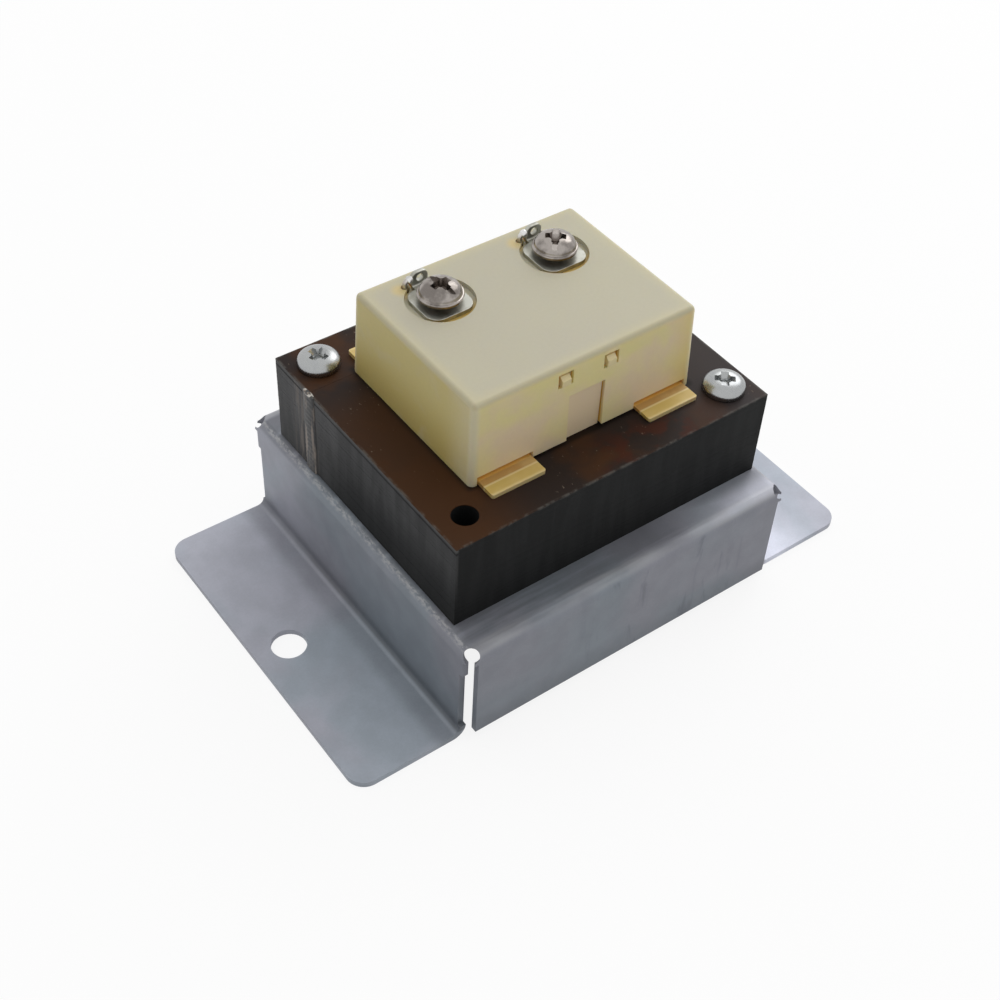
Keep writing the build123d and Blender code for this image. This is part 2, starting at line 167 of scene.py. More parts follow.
class TransformerSizes(bpy.types.PropertyGroup):
    """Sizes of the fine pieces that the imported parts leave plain."""

    lamination_pitch: length_property(
        "Lamination pitch", "Thickness of one lamination with its varnish", 0.467, 0.3, 1.0)
    lamination_shift: length_property(
        "Lamination shift", "How far a lamination may stand back from its neighbours", 0.022, 0.0, 0.1)
    sheet_edge: length_property("Sheet edge", "Rounding of the mounting plate's cut edges", 0.12, 0.02, 0.4)
    moulded_edge: length_property("Moulded edge", "Rounding of the plastic mouldings' edges", 0.12, 0.02, 0.4)
    small_edge: length_property("Small edge", "Rounding of the small metal pieces' edges", 0.08, 0.02, 0.3)
    thread_pitch: length_property("Thread pitch", "Pitch of the number 8 screws' thread", 0.794, 0.5, 1.2)
    thread_depth: length_property("Thread depth", "Depth of the screws' thread", 0.36, 0.1, 0.6)
    recess_reach: length_property("Recess reach", "Length of the cross recess from tip to tip", 5.4, 3.0, 6.0)
    weld_ripple: length_property("Weld ripple", "Pitch of the ripples on the core's weld runs", 1.1, 0.4, 3.0)


def colour_property(name, description, default):
    """A colour in the sidebar."""
    return bpy.props.FloatVectorProperty(
        name=name, description=description, default=default, subtype="COLOR", size=3, min=0, max=1)


class TransformerColours(bpy.types.PropertyGroup):
    """Colours that the finishes are made from."""

    zinc: colour_property("Zinc", "The mounting plate's cool grey", (0.375, 0.420, 0.475))
    zinc_warm: colour_property("Warm zinc", "The mounting plate's warmer patches", (0.430, 0.440, 0.500))
    varnish: colour_property("Varnish", "The core's dark varnish", (0.024, 0.016, 0.014))
    varnish_brown: colour_property(
        "Brown varnish", "Thin brown patches on the core's top", (0.056, 0.023, 0.009))
    core_side: colour_property("Core side", "The laminations' varnished edges", (0.013, 0.0135, 0.0135))
    ivory: colour_property("Ivory", "The cover's top", (0.500, 0.466, 0.352))
    ivory_side: colour_property("Ivory side", "The cover's yellower walls", (0.700, 0.590, 0.245))
    ochre: colour_property("Ochre", "The bobbin's natural plastic", (0.600, 0.430, 0.120))
    copper: colour_property("Copper", "The enamelled winding wire", (0.420, 0.130, 0.045))
    tape: colour_property("Tape", "The coil's film tape", (0.620, 0.480, 0.120))
    nickel: colour_property("Nickel", "The terminal screws' bright plating", (0.375, 0.342, 0.316))
    bright_zinc: colour_property("Bright zinc", "The core screws' plating", (0.400, 0.410, 0.410))


class TransformerStage(bpy.types.PropertyGroup):
    """The camera and the light."""

    camera_place: bpy.props.FloatVectorProperty(
        name="Camera place", description="Where the camera stands", size=3, subtype="TRANSLATION",
        unit="LENGTH", default=(-0.13265, -0.16255, 0.2231))
    azimuth: bpy.props.FloatProperty(
        name="Azimuth", description="Turn of the camera round the object, from the front", subtype="ANGLE",
        unit="ROTATION", default=math.radians(-38.56))
    elevation: bpy.props.FloatProperty(
        name="Elevation", description="How far the camera looks down", subtype="ANGLE", unit="ROTATION",
        default=math.radians(45.47))
    roll: bpy.props.FloatProperty(
        name="Roll", description="Tilt of the picture", subtype="ANGLE", unit="ROTATION",
        default=math.radians(3.39))
    lens: bpy.props.FloatProperty(
        name="Lens", description="Focal length on a 36 mm sensor, in millimetres", default=56.76,
        min=10, max=200)
    bright_side: bpy.props.FloatVectorProperty(
        name="Bright side", description="Where the soft light comes from", size=3, subtype="DIRECTION",
        default=(0.50, 0.45, 0.74))
    fill_high: bpy.props.FloatProperty(
        name="Bright fill", description="Strength of the soft light on its bright side",
        default=1.12, min=0, max=3)
    fill_low: bpy.props.FloatProperty(
        name="Dim fill", description="Strength of the soft light on its dim side", default=0.26, min=0, max=2)
    key_power: bpy.props.FloatProperty(
        name="Key power", description="Power of the soft lamp above", default=1.3, min=0, max=50,
        subtype="POWER")


class Wire:
    """A socket of a node tree. Sums with it add Math nodes."""

    def __init__(self, tree, socket):
        self.tree = tree
        self.socket = socket

    def maths(self, operation, *values):
        made = self.tree.nodes.new("ShaderNodeMath")
        made.operation = operation
        for place, value in zip(made.inputs, values):
            if isinstance(value, Wire):
                self.tree.links.new(value.socket, place)
            else:
                place.default_value = value
        return Wire(self.tree, made.outputs[0])

    def __add__(self, other):
        return self.maths("ADD", self, other)

    __radd__ = __add__

    def __mul__(self, other):
        return self.maths("MULTIPLY", self, other)

    __rmul__ = __mul__

    def __sub__(self, other):
        return self.maths("SUBTRACT", self, other)

    def __rsub__(self, other):
        return self.maths("SUBTRACT", other, self)

    def __neg__(self):
        return self.maths("MULTIPLY", self, -1.0)

    def __pow__(self, other):
        return self.maths("POWER", self, other)

    def __abs__(self):
        return self.maths("ABSOLUTE", self)

    def greatest(self, other):
        return self.maths("MAXIMUM", self, other)


class Finish:
    """A material in the making. Its patterns lie on the object's own coordinates, in millimetres."""

    def __init__(self, name, **constants):
        material = bpy.data.materials.new(name + "_finish")
        material.use_nodes = True
        self.tree = material.node_tree
        self.shader = self.tree.nodes["Principled BSDF"]
        for socket, value in constants.items():
            self.shader.inputs[socket.replace("_", " ")].default_value = value
        metres = self.node("ShaderNodeTexCoord", output="Object")
        self.place = self.node(
            "ShaderNodeVectorMath", {"operation": "SCALE"}, {"Vector": metres, "Scale": 1 / MM})
        self.x = self.node("ShaderNodeSeparateXYZ", inputs={0: self.place}, output="X")
        self.y = self.node("ShaderNodeSeparateXYZ", inputs={0: self.place}, output="Y")
        self.z = self.node("ShaderNodeSeparateXYZ", inputs={0: self.place}, output="Z")

    def node(self, kind, settings=None, inputs=None, output=0):
        """Add a node: its settings first, then the values or links of its sockets."""
        made = self.tree.nodes.new(kind)
        for name, value in (settings or {}).items():
            setattr(made, name, value)
        for name, value in (inputs or {}).items():
            place = made.inputs[name]
            if isinstance(value, Wire):
                self.tree.links.new(value.socket, place)
            elif place.type == "RGBA":
                place.default_value = (*value[:3], 1.0)
            else:
                place.default_value = value
        return Wire(self.tree, made.outputs[output])

    def spread(self, size, detail=3.0, stretch=(1, 1, 1), shift=(0, 0, 0), rough=0.5, twist=0.0):
        """Soft noise about 0.5, with features of a size in millimetres."""
        shifted = self.node("ShaderNodeVectorMath", {"operation": "ADD"}, {0: self.place, 1: shift})
        pulled = self.node("ShaderNodeVectorMath", {"operation": "DIVIDE"}, {0: shifted, 1: stretch})
        return self.node("ShaderNodeTexNoise", inputs={
            "Vector": pulled, "Scale": 1 / size, "Detail": detail, "Roughness": rough, "Distortion": twist})

    def rise(self, value, low, high):
        """0 below the low value, 1 above the high one and smooth between them."""
        return self.node("ShaderNodeMapRange", {"interpolation_type": "SMOOTHSTEP"}, {
            "Value": value, "From Min": low, "From Max": high})

    def within(self, value, low, high, soft):
        """1 between two values and 0 outside them, with soft limits."""
        return self.rise(value, low - soft, low) * (1 - self.rise(value, high, high + soft))

    def tint(self, amount, below, above, mode="MIX"):
        """Mix two colours."""
        return self.node("ShaderNodeMix", {"data_type": "RGBA", "blend_type": mode}, {
            0: amount, 6: below, 7: above}, output=2)

    def shade(self, colour, amount, low, high):
        """Multiply a colour by a grey that runs from low to high with the amount."""
        grey = low + amount * (high - low)
        as_colour = self.node("ShaderNodeCombineXYZ", inputs={0: grey, 1: grey, 2: grey})
        return self.tint(1.0, colour, as_colour, "MULTIPLY")

    def done(self, colour, roughness, height, bump):
        """Link what varies to the shader. Heights are in millimetres."""
        normal = self.node(
            "ShaderNodeBump", inputs={"Strength": bump, "Distance": MM, "Height": height}, output="Normal")
        for name, wire in {"Base Color": colour, "Roughness": roughness, "Normal": normal}.items():
            self.tree.links.new(wire.socket, self.shader.inputs[name])


def galvanised_sheet(colours):
    """Matt hot-dipped zinc with cloudy patches, scuffs on the front wall, worn bends with a painted
    highlight, and painted light and shade by place.
    """
    skin = Finish("galvanised_sheet", Metallic=0.25)
    clouds = skin.spread(26, detail=4, twist=0.6)
    colour = skin.tint(skin.rise(clouds, 0.38, 0.62), colours.zinc, colours.zinc_warm)
    mottle = skin.spread(5, detail=4, shift=(40, 0, 0))
    colour = skin.shade(colour, skin.rise(mottle, 0.3, 0.7), 0.94, 1.05)
    grain = skin.spread(0.35, detail=2)
    colour = skin.shade(colour, grain, 0.93, 1.07)

    # Painted shade on the walls and in the hollow bends, painted light on the right wing, and painted light
    # and shade on the platform at the core's foot, by place
    half_length = PLATFORM_HALF_LENGTH
    raised = skin.rise(skin.z, PLATFORM_TOP - 1.2, PLATFORM_TOP - 0.2)
    low = 1 - skin.rise(skin.z, WING_TOP + 0.05, WING_TOP + 0.5)
    walls = (1 - raised) * (1 - low)
    # Painted shade darkens the walls, and painted light keeps the left wall paler towards its back
    paler = skin.rise(-skin.x, half_length - 0.5, half_length - 0.1) * skin.rise(skin.y, 8, 28)
    colour = skin.shade(colour, walls * (1 - paler * 0.8), 1.0, 0.64)
    # Painted shade towards the foot of the walls
    foot = (1 - skin.rise(skin.z, 2.0, 8.0)) * (1 - low)
    colour = skin.shade(colour, foot, 1.0, 0.80)
    # Painted shade in the hollow of the left wing's bend
    bend_top = WING_TOP + BEND_RADIUS
    hollow = skin.rise(-skin.x, half_length - 1.0, half_length)
    hollow *= 1 - skin.rise(-skin.x, half_length + 3, half_length + 6)
    colour = skin.shade(colour, hollow * (1 - skin.rise(skin.z, bend_top, bend_top + 2.4)), 1.0, 0.76)
    # Painted light on the right wing, strongest by its bend and weaker further out
    colour = skin.shade(colour, skin.rise(skin.x, half_length, half_length + 1.5) * low, 1.0, 1.9)
    colour = skin.shade(colour, skin.rise(skin.x, half_length + 3, half_length + 15) * low, 1.0, 0.60)
    # Painted shade on the platform's top by the core and towards its left, broken by streaks, and painted
    # light on the rest of it
    by_core = 1 - skin.rise(-skin.y, CORE_FRONT + 0.5, CORE_FRONT + 4.5)
    stripes = skin.spread(5, detail=3, stretch=(6, 0.5, 1), shift=(0, 9, 0))
    dim = (by_core * 0.7).greatest(1 - skin.rise(skin.x, 6, 30) - skin.rise(stripes, 0.45, 0.7) * 0.25)
    colour = skin.shade(colour, raised * (0.25 - dim * 0.82) + 1, 0.0, 1.0)

    # Scuffs on the front wall, and worn outer bends that also carry a painted highlight
    front_wall = skin.rise(-skin.y, PLATFORM_HALF_DEPTH - 0.6, PLATFORM_HALF_DEPTH - 0.1)
    streaks = skin.spread(2.0, detail=3, stretch=(1, 1, 5), twist=0.4)
    scuffs = skin.rise(streaks, 0.56, 0.74) * front_wall * skin.within(skin.x, -2, 18, 14)
    colour = skin.tint(scuffs * 0.35, colour, Tone.ZINC_SCUFFED)
    side_bend = skin.within(abs(skin.x), half_length - 1.2, half_length - 0.45, 0.4)
    side_bend *= skin.rise(skin.z, PLATFORM_TOP - 1.3, PLATFORM_TOP - 0.5)
    worn = side_bend * skin.rise(skin.spread(0.55, detail=4, stretch=(1, 2.2, 1), rough=0.7), 0.38, 0.66)
    end_bend = skin.within(abs(skin.y), PLATFORM_HALF_DEPTH - 2.2, PLATFORM_HALF_DEPTH - 0.6, 0.8)
    end_bend *= skin.rise(skin.z, PLATFORM_TOP - 1.6, PLATFORM_TOP - 0.6)
    rubbed = end_bend * skin.rise(skin.spread(4, detail=3, stretch=(4, 1, 1)), 0.30, 0.65)
    # The bends are lighter from wear and from a painted highlight
    colour = skin.tint((worn * 0.55).greatest(rubbed * 0.28), colour, Tone.ZINC_WORN_HIGHLIGHT)
    roughness = 0.46 + clouds * 0.14 + grain * 0.08 + scuffs * 0.1
    height = grain * 0.012 + skin.spread(1.6, detail=3) * 0.012
    skin.done(colour, roughness, height, bump=0.5)


def varnished_core(colours):
    """Baked varnish: brown and purple patches on the top, black runs down the sides and thin worn edges, with
    a painted sheen, painted shadow by the cover and painted light on the left wall.
    """
    skin = Finish("varnished_core", Specular_IOR_Level=0.10)
    top = skin.rise(skin.z, CORE_TOP - 0.25, CORE_TOP - 0.06)
    patches = skin.spread(15, detail=3, shift=(11, 5, 0), twist=0.5)
    brown = skin.tint(skin.rise(patches, 0.44, 0.60), colours.varnish, colours.varnish_brown)
    left = 1 - skin.rise(skin.x, -26, -14)
    brown = skin.tint(left * (1 - skin.rise(skin.y, 6, 17)) * 0.8, brown, colours.varnish_brown)
    # Painted sheen: the top turns a lighter grey towards the right end
    brown = skin.tint(skin.rise(skin.x, 12, 32) * 0.8, brown, Tone.CORE_SHEEN_GREY)
    red = skin.within(skin.x, 2, 16, 8) * (1 - skin.rise(skin.y, -24, -18))
    red *= skin.rise(skin.spread(4, detail=3, shift=(3, 40, 0)), 0.44, 0.60)
    brown = skin.tint(red * 0.7, brown, Tone.CORE_RED)
    flecks = skin.rise(skin.spread(0.55, detail=2, stretch=(1, 1.8, 1), rough=0.6), 0.68, 0.74)
    flecks *= skin.rise(skin.spread(9, detail=2, shift=(9, 9, 0)), 0.45, 0.6)
    brown = skin.tint(flecks * 0.4, brown, Tone.CORE_FLECK)
    # Painted shadow on the top along the foot of the cover
    edge = skin.rise(abs(skin.y), COVER_HIGH.y + 1.0, COVER_HIGH.y - 0.1)
    shade = edge * skin.rise(abs(skin.x), COVER_HIGH.x + 1.2, COVER_HIGH.x - 0.1)
    brown = skin.tint(shade * 0.8, brown, Tone.CORE_SHADE)

    # Painted light on the left wall, runs of varnish down the sides, drips by the joint and single sheets
    runs = skin.spread(2.2, detail=3, stretch=(1, 1, 7), shift=(0, 3, 0), twist=0.3)
    left_wall = skin.rise(-skin.x, CORE_X - 0.7, CORE_X - 0.2)
    # Painted light: the left wall is paler towards its top and its back
    paler = skin.rise(skin.z, CORE_BOTTOM + 3, CORE_TOP - 2) * 0.5 + skin.rise(skin.y, 2, 24) * 0.6
    side = skin.tint(left_wall * paler, colours.core_side, Tone.CORE_PAINTED_LIGHT_SIDE)
    side = skin.shade(side, skin.rise(runs, 0.35, 0.7), 0.88, 1.25)
    near_joint = skin.within(skin.y, JOINT_Y - 1.4, JOINT_Y + 4.5, 1.4) * left_wall
    drips = near_joint * skin.rise(skin.spread(0.9, detail=2, stretch=(1, 1, 12)), 0.46, 0.62)
    side = skin.tint(drips * 0.5, side, Tone.CORE_DRIP)
    sheets = skin.spread(0.5, detail=1, stretch=(60, 60, 1))
    side = skin.shade(side, sheets, 0.93, 1.07)
    top_sheet = skin.rise(skin.z, CORE_TOP - 0.75, CORE_TOP - 0.45) * left_wall
    side = skin.tint(top_sheet * 0.6, side, Tone.CORE_TOP_SHEET)
    parted = skin.within(skin.z, CORE_TOP - 1.25, CORE_TOP - 0.95, 0.15) * left_wall
    side = skin.tint(parted * 0.8, side, Tone.CORE_PARTING)
    colour = skin.tint(top, side, brown)

    # Thin worn edges round the top
    to_side = CORE_X - abs(skin.x)
    to_front = skin.y + CORE_FRONT
    to_back = CORE_BACK - skin.y
    on_edge = (1 - skin.rise(to_side, 0.12, 0.55)).greatest(1 - skin.rise(to_front, 0.12, 0.55))
    on_edge = on_edge.greatest(1 - skin.rise(to_back, 0.12, 0.55))
    on_edge *= skin.rise(skin.z, CORE_TOP - 0.6, CORE_TOP - 0.1)
    rubbed = on_edge * skin.rise(skin.spread(2.5, detail=4, rough=0.65), 0.40, 0.62)
    colour = skin.tint(rubbed * 0.55, colour, Tone.CORE_RUBBED)
    roughness = 0.40 + patches * 0.16 + flecks * 0.3 + (1 - top) * 0.12
    height = skin.spread(9, detail=2) * 0.05 + skin.spread(0.8, detail=2) * 0.01 + drips * 0.05
    skin.done(colour, roughness, height, bump=0.5)


def weld_metal(colours):
    """A weld run that the varnish covers thinly."""
    skin = Finish("weld_metal", Specular_IOR_Level=0.3)
    runs = skin.spread(0.9, detail=3, stretch=(1, 1, 9))
    colour = skin.tint(skin.rise(runs, 0.50, 0.62), Tone.WELD_VARNISHED, Tone.WELD_RUN)
    ends = skin.rise(skin.z, CORE_TOP - 0.3, CORE_TOP - 0.02)
    bare = ends * skin.rise(skin.spread(1.2, detail=2), 0.47, 0.56)
    colour = skin.tint(bare, colour, Tone.WELD_BARE)
    skin.done(colour, 0.36 + runs * 0.25, skin.spread(0.5) * 0.03, bump=0.6)


def ivory_plastic(colours):
    """Moulded nylon: grey ivory on top, a paler rim with a painted highlight, yellower walls that darken with
    painted shade lower down, painted highlights on the corners, a painted ochre glow where it is cut in, and
    painted shadow in the pockets and at each lead.
    """
    skin = Finish(
        "ivory_plastic", Subsurface_Weight=0.3, Subsurface_Radius=(1.0, 0.7, 0.35), Subsurface_Scale=0.0016)
    upper = skin.rise(skin.z, CORE_TOP - 2, CORE_TOP - 1)
    from_top = COVER_HIGH.z - skin.z
    wall = skin.rise(from_top, 0.25, 1.2) * upper + (1 - upper)
    drawn_in = (skin.z - CORE_TOP) * COVER_DRAFT
    to_side = COVER_HIGH.x - drawn_in - abs(skin.x)
    to_end = COVER_HIGH.y - drawn_in - abs(skin.y)
    left_wall = skin.rise(-skin.x, COVER_HIGH.x - 1.8, COVER_HIGH.x - 0.7)

    # Walls
    clouds = skin.spread(7, detail=3, shift=(0, 0, 20), twist=0.4)
    pink = skin.rise(skin.spread(7, detail=2, shift=(30, 0, 9)), 0.30, 0.72)
    ends = skin.tint(pink, Tone.END_YELLOW, Tone.END_PINK)
    yellow_band = skin.within(from_top, 1.2, 5.5, 2.5) * skin.rise(clouds, 0.35, 0.6)
    ends = skin.tint(yellow_band * 0.7, ends, Tone.END_BAND)
    near_corner = skin.rise(skin.x, COVER_HIGH.x - 7, COVER_HIGH.x - 1.5)
    ends = skin.tint(near_corner * 0.6, ends, Tone.END_CORNER)
    # Painted shade: the side walls turn darker and more ochre towards the bottom
    low = skin.rise(from_top, 5, 16)
    sides = skin.tint(low, colours.ivory_side, Tone.SIDE_PAINTED_SHADE)
    sides = skin.tint(skin.rise(clouds, 0.50, 0.68) * 0.5, sides, Tone.SIDE_CLOUD)
    near_front = skin.rise(-skin.y, COVER_HIGH.y - 9, COVER_HIGH.y - 1)
    sides = skin.tint(near_front * 0.6, sides, Tone.SIDE_FRONT)
    walls = skin.tint(left_wall, ends, sides)

    # Top, with painted highlights on its rim and corners, a painted glow in the cuts, and painted shadow in
    # the pockets and at each lead
    top_clouds = skin.spread(22, detail=2)
    top = skin.tint(skin.rise(top_clouds, 0.3, 0.7), colours.ivory, Tone.IVORY_WARM)
    # A paler, yellower rim along the top edges: the nylon's tone with a painted highlight
    rim = 1 - skin.rise(to_side, 0.6, 3.0) * skin.rise(to_end, 0.6, 3.0)
    top = skin.tint(rim * 0.4, top, Tone.IVORY_RIM_HIGHLIGHT)
    colour = skin.tint(wall, top, walls)
    # Painted highlight on the rounded corners
    corner = (1 - skin.rise(to_side.greatest(to_end), 0.4, 1.6)) * wall
    colour = skin.tint(corner * 0.6, colour, Tone.IVORY_CORNER_HIGHLIGHT)
    # Painted glow: bright ochre on the faces cut into the walls, for light through the thin nylon
    inside = skin.rise(to_side, 0.42, 0.60) * skin.rise(to_end, 0.42, 0.60) * skin.rise(from_top, 0.42, 0.60)
    colour = skin.tint(inside, colour, Tone.IVORY_CUT_GLOW)
    # Painted shadow in the pocket round each terminal, ochre in front of its plate
    from_terminal = ((abs(skin.x) - TERMINAL.x) ** 2 + (skin.y - TERMINAL.y) ** 2) ** 0.5
    pocket = 1 - skin.rise(from_terminal, TERMINAL_POCKET_RADIUS - 0.1, TERMINAL_POCKET_RADIUS + 0.1)
    pocket *= skin.rise(from_top, 0.06, 0.16)
    in_front = 1 - skin.rise(skin.y - TERMINAL.y, -4.5, -1.5)
    pocket_colour = skin.tint(in_front, Tone.POCKET_BACK, Tone.POCKET_FRONT_SHADOW)
    colour = skin.tint(pocket * (1 - skin.rise(from_top, 1.2, 1.4)), colour, pocket_colour)
    # Painted shadow, ochre, on the top beside each lead
    beside, behind = LEAD_FROM_TERMINAL
    from_lead = ((abs(skin.x + beside) - TERMINAL.x) ** 2 + (skin.y - TERMINAL.y - behind) ** 2) ** 0.5
    lead_shadow = (1 - skin.rise(from_lead, 0.6, 2.4)) * upper
    colour = skin.tint(lead_shadow * 0.55, colour, Tone.LEAD_SHADOW)
    colour = skin.shade(colour, skin.spread(0.6, detail=2), 0.97, 1.03)
    roughness = 0.42 + clouds * 0.12
    height = skin.spread(0.5, detail=2) * 0.006 + skin.spread(14, detail=1) * 0.05
    skin.done(colour, roughness, height, bump=0.35)


def ochre_plastic(colours):
    """The bobbin's plastic: a painted deep ochre glow inside the cover and painted shade at its foot, paler
    on its outer faces, with painted highlights on its edges.
    """
    skin = Finish(
        "ochre_plastic", Subsurface_Weight=0.15, Subsurface_Radius=(1.0, 0.6, 0.2), Subsurface_Scale=0.001)
    # A painted glow inside the cover, then painted shade on the ears at the cover's foot
    from_end = abs(skin.y) - COVER_HIGH.y
    colour = skin.tint(skin.rise(from_end, -0.3, 0.2), Tone.OCHRE_INSIDE_GLOW, Tone.OCHRE_SHADED)
    colour = skin.tint(skin.rise(from_end, 1.3, 1.6), colour, colours.ochre)
    clouds = skin.spread(4, detail=3)
    colour = skin.tint(skin.rise(clouds, 0.35, 0.7) * 0.4, colour, Tone.OCHRE_CLOUD)
    # Painted highlights on the ears' outer edge and along a line across them
    edge = skin.rise(from_end, 3.3, 3.9).greatest(skin.within(from_end, 1.45, 1.7, 0.15))
    colour = skin.tint(edge * 0.6, colour, Tone.OCHRE_EDGE_HIGHLIGHT)
    faces = skin.rise(abs(skin.y) - JOINT_Y, 0.05, 0.20) * skin.rise(skin.z, CORE_TOP + 0.9, CORE_TOP + 1.2)
    foot = 1 - skin.rise(abs(skin.x), 4.2, 4.6)
    latches = skin.rise(skin.z, COVER_HIGH.z - 6, COVER_HIGH.z - 4)
    outer = skin.tint(latches, Tone.KEY_FACE, Tone.LATCH_FACE)
    colour = skin.tint(faces.greatest(foot), colour, outer)
    height = skin.spread(0.5, detail=2) * 0.006
    skin.done(colour, 0.40 + clouds * 0.1, height, bump=0.35)


def enamelled_copper(colours):
    """Turns of enamelled wire, side by side along the coil."""
    skin = Finish("enamelled_copper", Metallic=0.6, Coat_Weight=0.4)
    turns = skin.node("ShaderNodeMath", {"operation": "SINE"}, {0: skin.y * (2 * math.pi / 0.9)})
    colour = skin.tint(skin.spread(6), colours.copper, Tone.COPPER_DARK)
    # Painted shade between the turns and painted light on their crests
    colour = skin.shade(colour, turns * 0.5 + 0.5, 0.6, 1.1)
    skin.done(colour, 0.3 + skin.spread(2) * 0.1, turns * 0.2, bump=0.8)


def polyester_tape(colours):
    """Thin film tape, a little wrinkled along the coil."""
    skin = Finish("polyester_tape", Coat_Weight=0.3)
    wrinkles = skin.spread(1.5, detail=3, stretch=(1, 6, 1))
    # Painted shade and light that follow the wrinkles' relief
    colour = skin.shade(skin.tint(skin.spread(8), colours.tape, Tone.TAPE_PALE), wrinkles, 0.85, 1.1)
    skin.done(colour, 0.28 + wrinkles * 0.15, wrinkles * 0.06, bump=0.6)


def plated_metal(name, colour, tarnish, rough, scratch_size=0.25):
    """Bright plating with faint clouds, fine scratches and a little dirt."""
    skin = Finish(name, Metallic=1.0)
    clouds = skin.spread(2.6, detail=3)
    skin_colour = skin.tint(skin.rise(clouds, 0.42, 0.66) * 0.8, colour, tarnish)
    scratches = skin.spread(scratch_size, detail=3, stretch=(1, 5, 1), rough=0.65)
    skin_colour = skin.shade(skin_colour, scratches, 0.88, 1.08)
    roughness = rough + clouds * 0.10 + scratches * 0.12
    skin.done(skin_colour, roughness, scratches * 0.008 + clouds * 0.02, bump=0.5)


def plated_metals(colours):
    """The screws' nickel and bright zinc, plain zinc nuts and washers, tinned plates and wire, and solder."""
    plated_metal("nickel_screw", colours.nickel, (0.150, 0.132, 0.120), 0.11)
    plated_metal("zinc_screw", colours.bright_zinc, (0.36, 0.37, 0.38), 0.16)
    plated_metal("zinc_fastener", (0.50, 0.51, 0.51), (0.30, 0.30, 0.30), 0.30)
    plated_metal("tinned_terminal", (0.50, 0.50, 0.45), (0.32, 0.31, 0.26), 0.30)
    plated_metal("tinned_wire", (0.66, 0.65, 0.63), (0.42, 0.36, 0.30), 0.24)
    plated_metal("solder", (0.74, 0.74, 0.73), (0.46, 0.45, 0.44), 0.18, scratch_size=0.5)


FINISHES = (
    galvanised_sheet, varnished_core, weld_metal, ivory_plastic, ochre_plastic, enamelled_copper,
    polyester_tape, plated_metals)


def wear_finish(piece, slot):
    """Give a piece its finish."""
    piece.data.materials.clear()
    piece.data.materials.append(bpy.data.materials[slot + "_finish"])
    for face in piece.data.polygons:
        face.material_index = 0


def placed(name, data):
    """Add an object to the scene."""
    made = bpy.data.objects.new(name, data)
    bpy.context.scene.collection.objects.link(made)
    return made


def new_piece(name, mesh, slot, node, sharp_degrees=None):
    """Make a piece from a mesh in millimetres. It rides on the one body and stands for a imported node.
    Edges sharper than the angle stay sharp. Without an angle the faces' normals are weighted by area."""
    mesh.transform(Matrix.Scale(MM, 4))
    for face in mesh.polygons:
        face.use_smooth = True
    piece = placed(name, mesh)
    if sharp_degrees is None:
        evened = piece.modifiers.new("even_normals", "WEIGHTED_NORMAL")
        evened.keep_sharp = True
    else:
        mesh.set_sharp_from_angle(angle=math.radians(sharp_degrees))
    wear_finish(piece, slot)
    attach(piece, "root")
    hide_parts(node)


def as_mesh(name, shape):
    """A mesh data block from a bmesh, which is then freed."""
    mesh = bpy.data.meshes.new(name)
    shape.to_mesh(mesh)
    shape.free()
    return mesh


def verts_of(grown):
    """The vertices among the things that an operator made."""
    return [item for item in grown if isinstance(item, bmesh.types.BMVert)]


def faces_of(grown):
    """The faces among the things that an operator made."""
    return [item for item in grown if isinstance(item, bmesh.types.BMFace)]


def soften(shape, width, sharp_angle=math.radians(32), segments=2):
    """Round every sharp edge a little."""
    sharp = [edge for edge in shape.edges if edge.is_manifold and edge.calc_face_angle() > sharp_angle]
    bmesh.ops.bevel(
        shape, geom=sharp, offset=width, offset_type="OFFSET", affect="EDGES", segments=segments, profile=0.5,
        material=-1, clamp_overlap=True)


def rounded_copy(node, width):
    """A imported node's own shape with its cut edges rounded, in millimetres."""
    shape = bmesh.new()
    shape.from_mesh(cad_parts[node].data)
    bmesh.ops.scale(shape, vec=(1 / MM, 1 / MM, 1 / MM), verts=shape.verts)
    bmesh.ops.remove_doubles(shape, verts=shape.verts, dist=0.002)
    bmesh.ops.dissolve_degenerate(shape, edges=shape.edges, dist=0.002)
    bmesh.ops.dissolve_limit(
        shape, angle_limit=math.radians(1.0), verts=shape.verts, edges=shape.edges,
        use_dissolve_boundaries=False)
    soften(shape, width)
    return shape


def rounded_nodes(nodes, slot, width):
    """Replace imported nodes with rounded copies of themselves."""
    for node in nodes:
        new_piece(node + "_finished", as_mesh(node, rounded_copy(node, width)), slot, node)


def moved(shape, place, turn=0.0):
    """Turn a shape about Z and move it, in millimetres."""
    bmesh.ops.rotate(shape, cent=(0, 0, 0), matrix=Matrix.Rotation(turn, 3, "Z"), verts=shape.verts)
    bmesh.ops.translate(shape, vec=place, verts=shape.verts)


def lathed(profile, segments=64):
    """Spin a half section of (radius, height) points round Z into a closed shape."""
    shape = bmesh.new()
    points = [shape.verts.new((radius, 0, height)) for radius, height in profile]
    lines = [shape.edges.new(pair) for pair in zip(points, points[1:])]
    bmesh.ops.spin(
        shape, geom=points + lines, cent=(0, 0, 0), axis=(0, 0, 1), steps=segments, angle=2 * math.pi,
        use_merge=True)
    bmesh.ops.remove_doubles(shape, verts=shape.verts, dist=0.0005)
    bmesh.ops.recalc_face_normals(shape, faces=shape.faces)
    return shape


def crown_points(rim_radius, rim_height, top_radius, top_height, steps=9):
    """The rounded shoulder of a head, from its side up to its flat top."""
    points = []
    for step in range(steps + 1):
        angle = math.pi / 2 * step / steps
        radius = top_radius + (rim_radius - top_radius) * math.cos(angle)
        points.append((radius, rim_height + (top_height - rim_height) * math.sin(angle)))
    return points


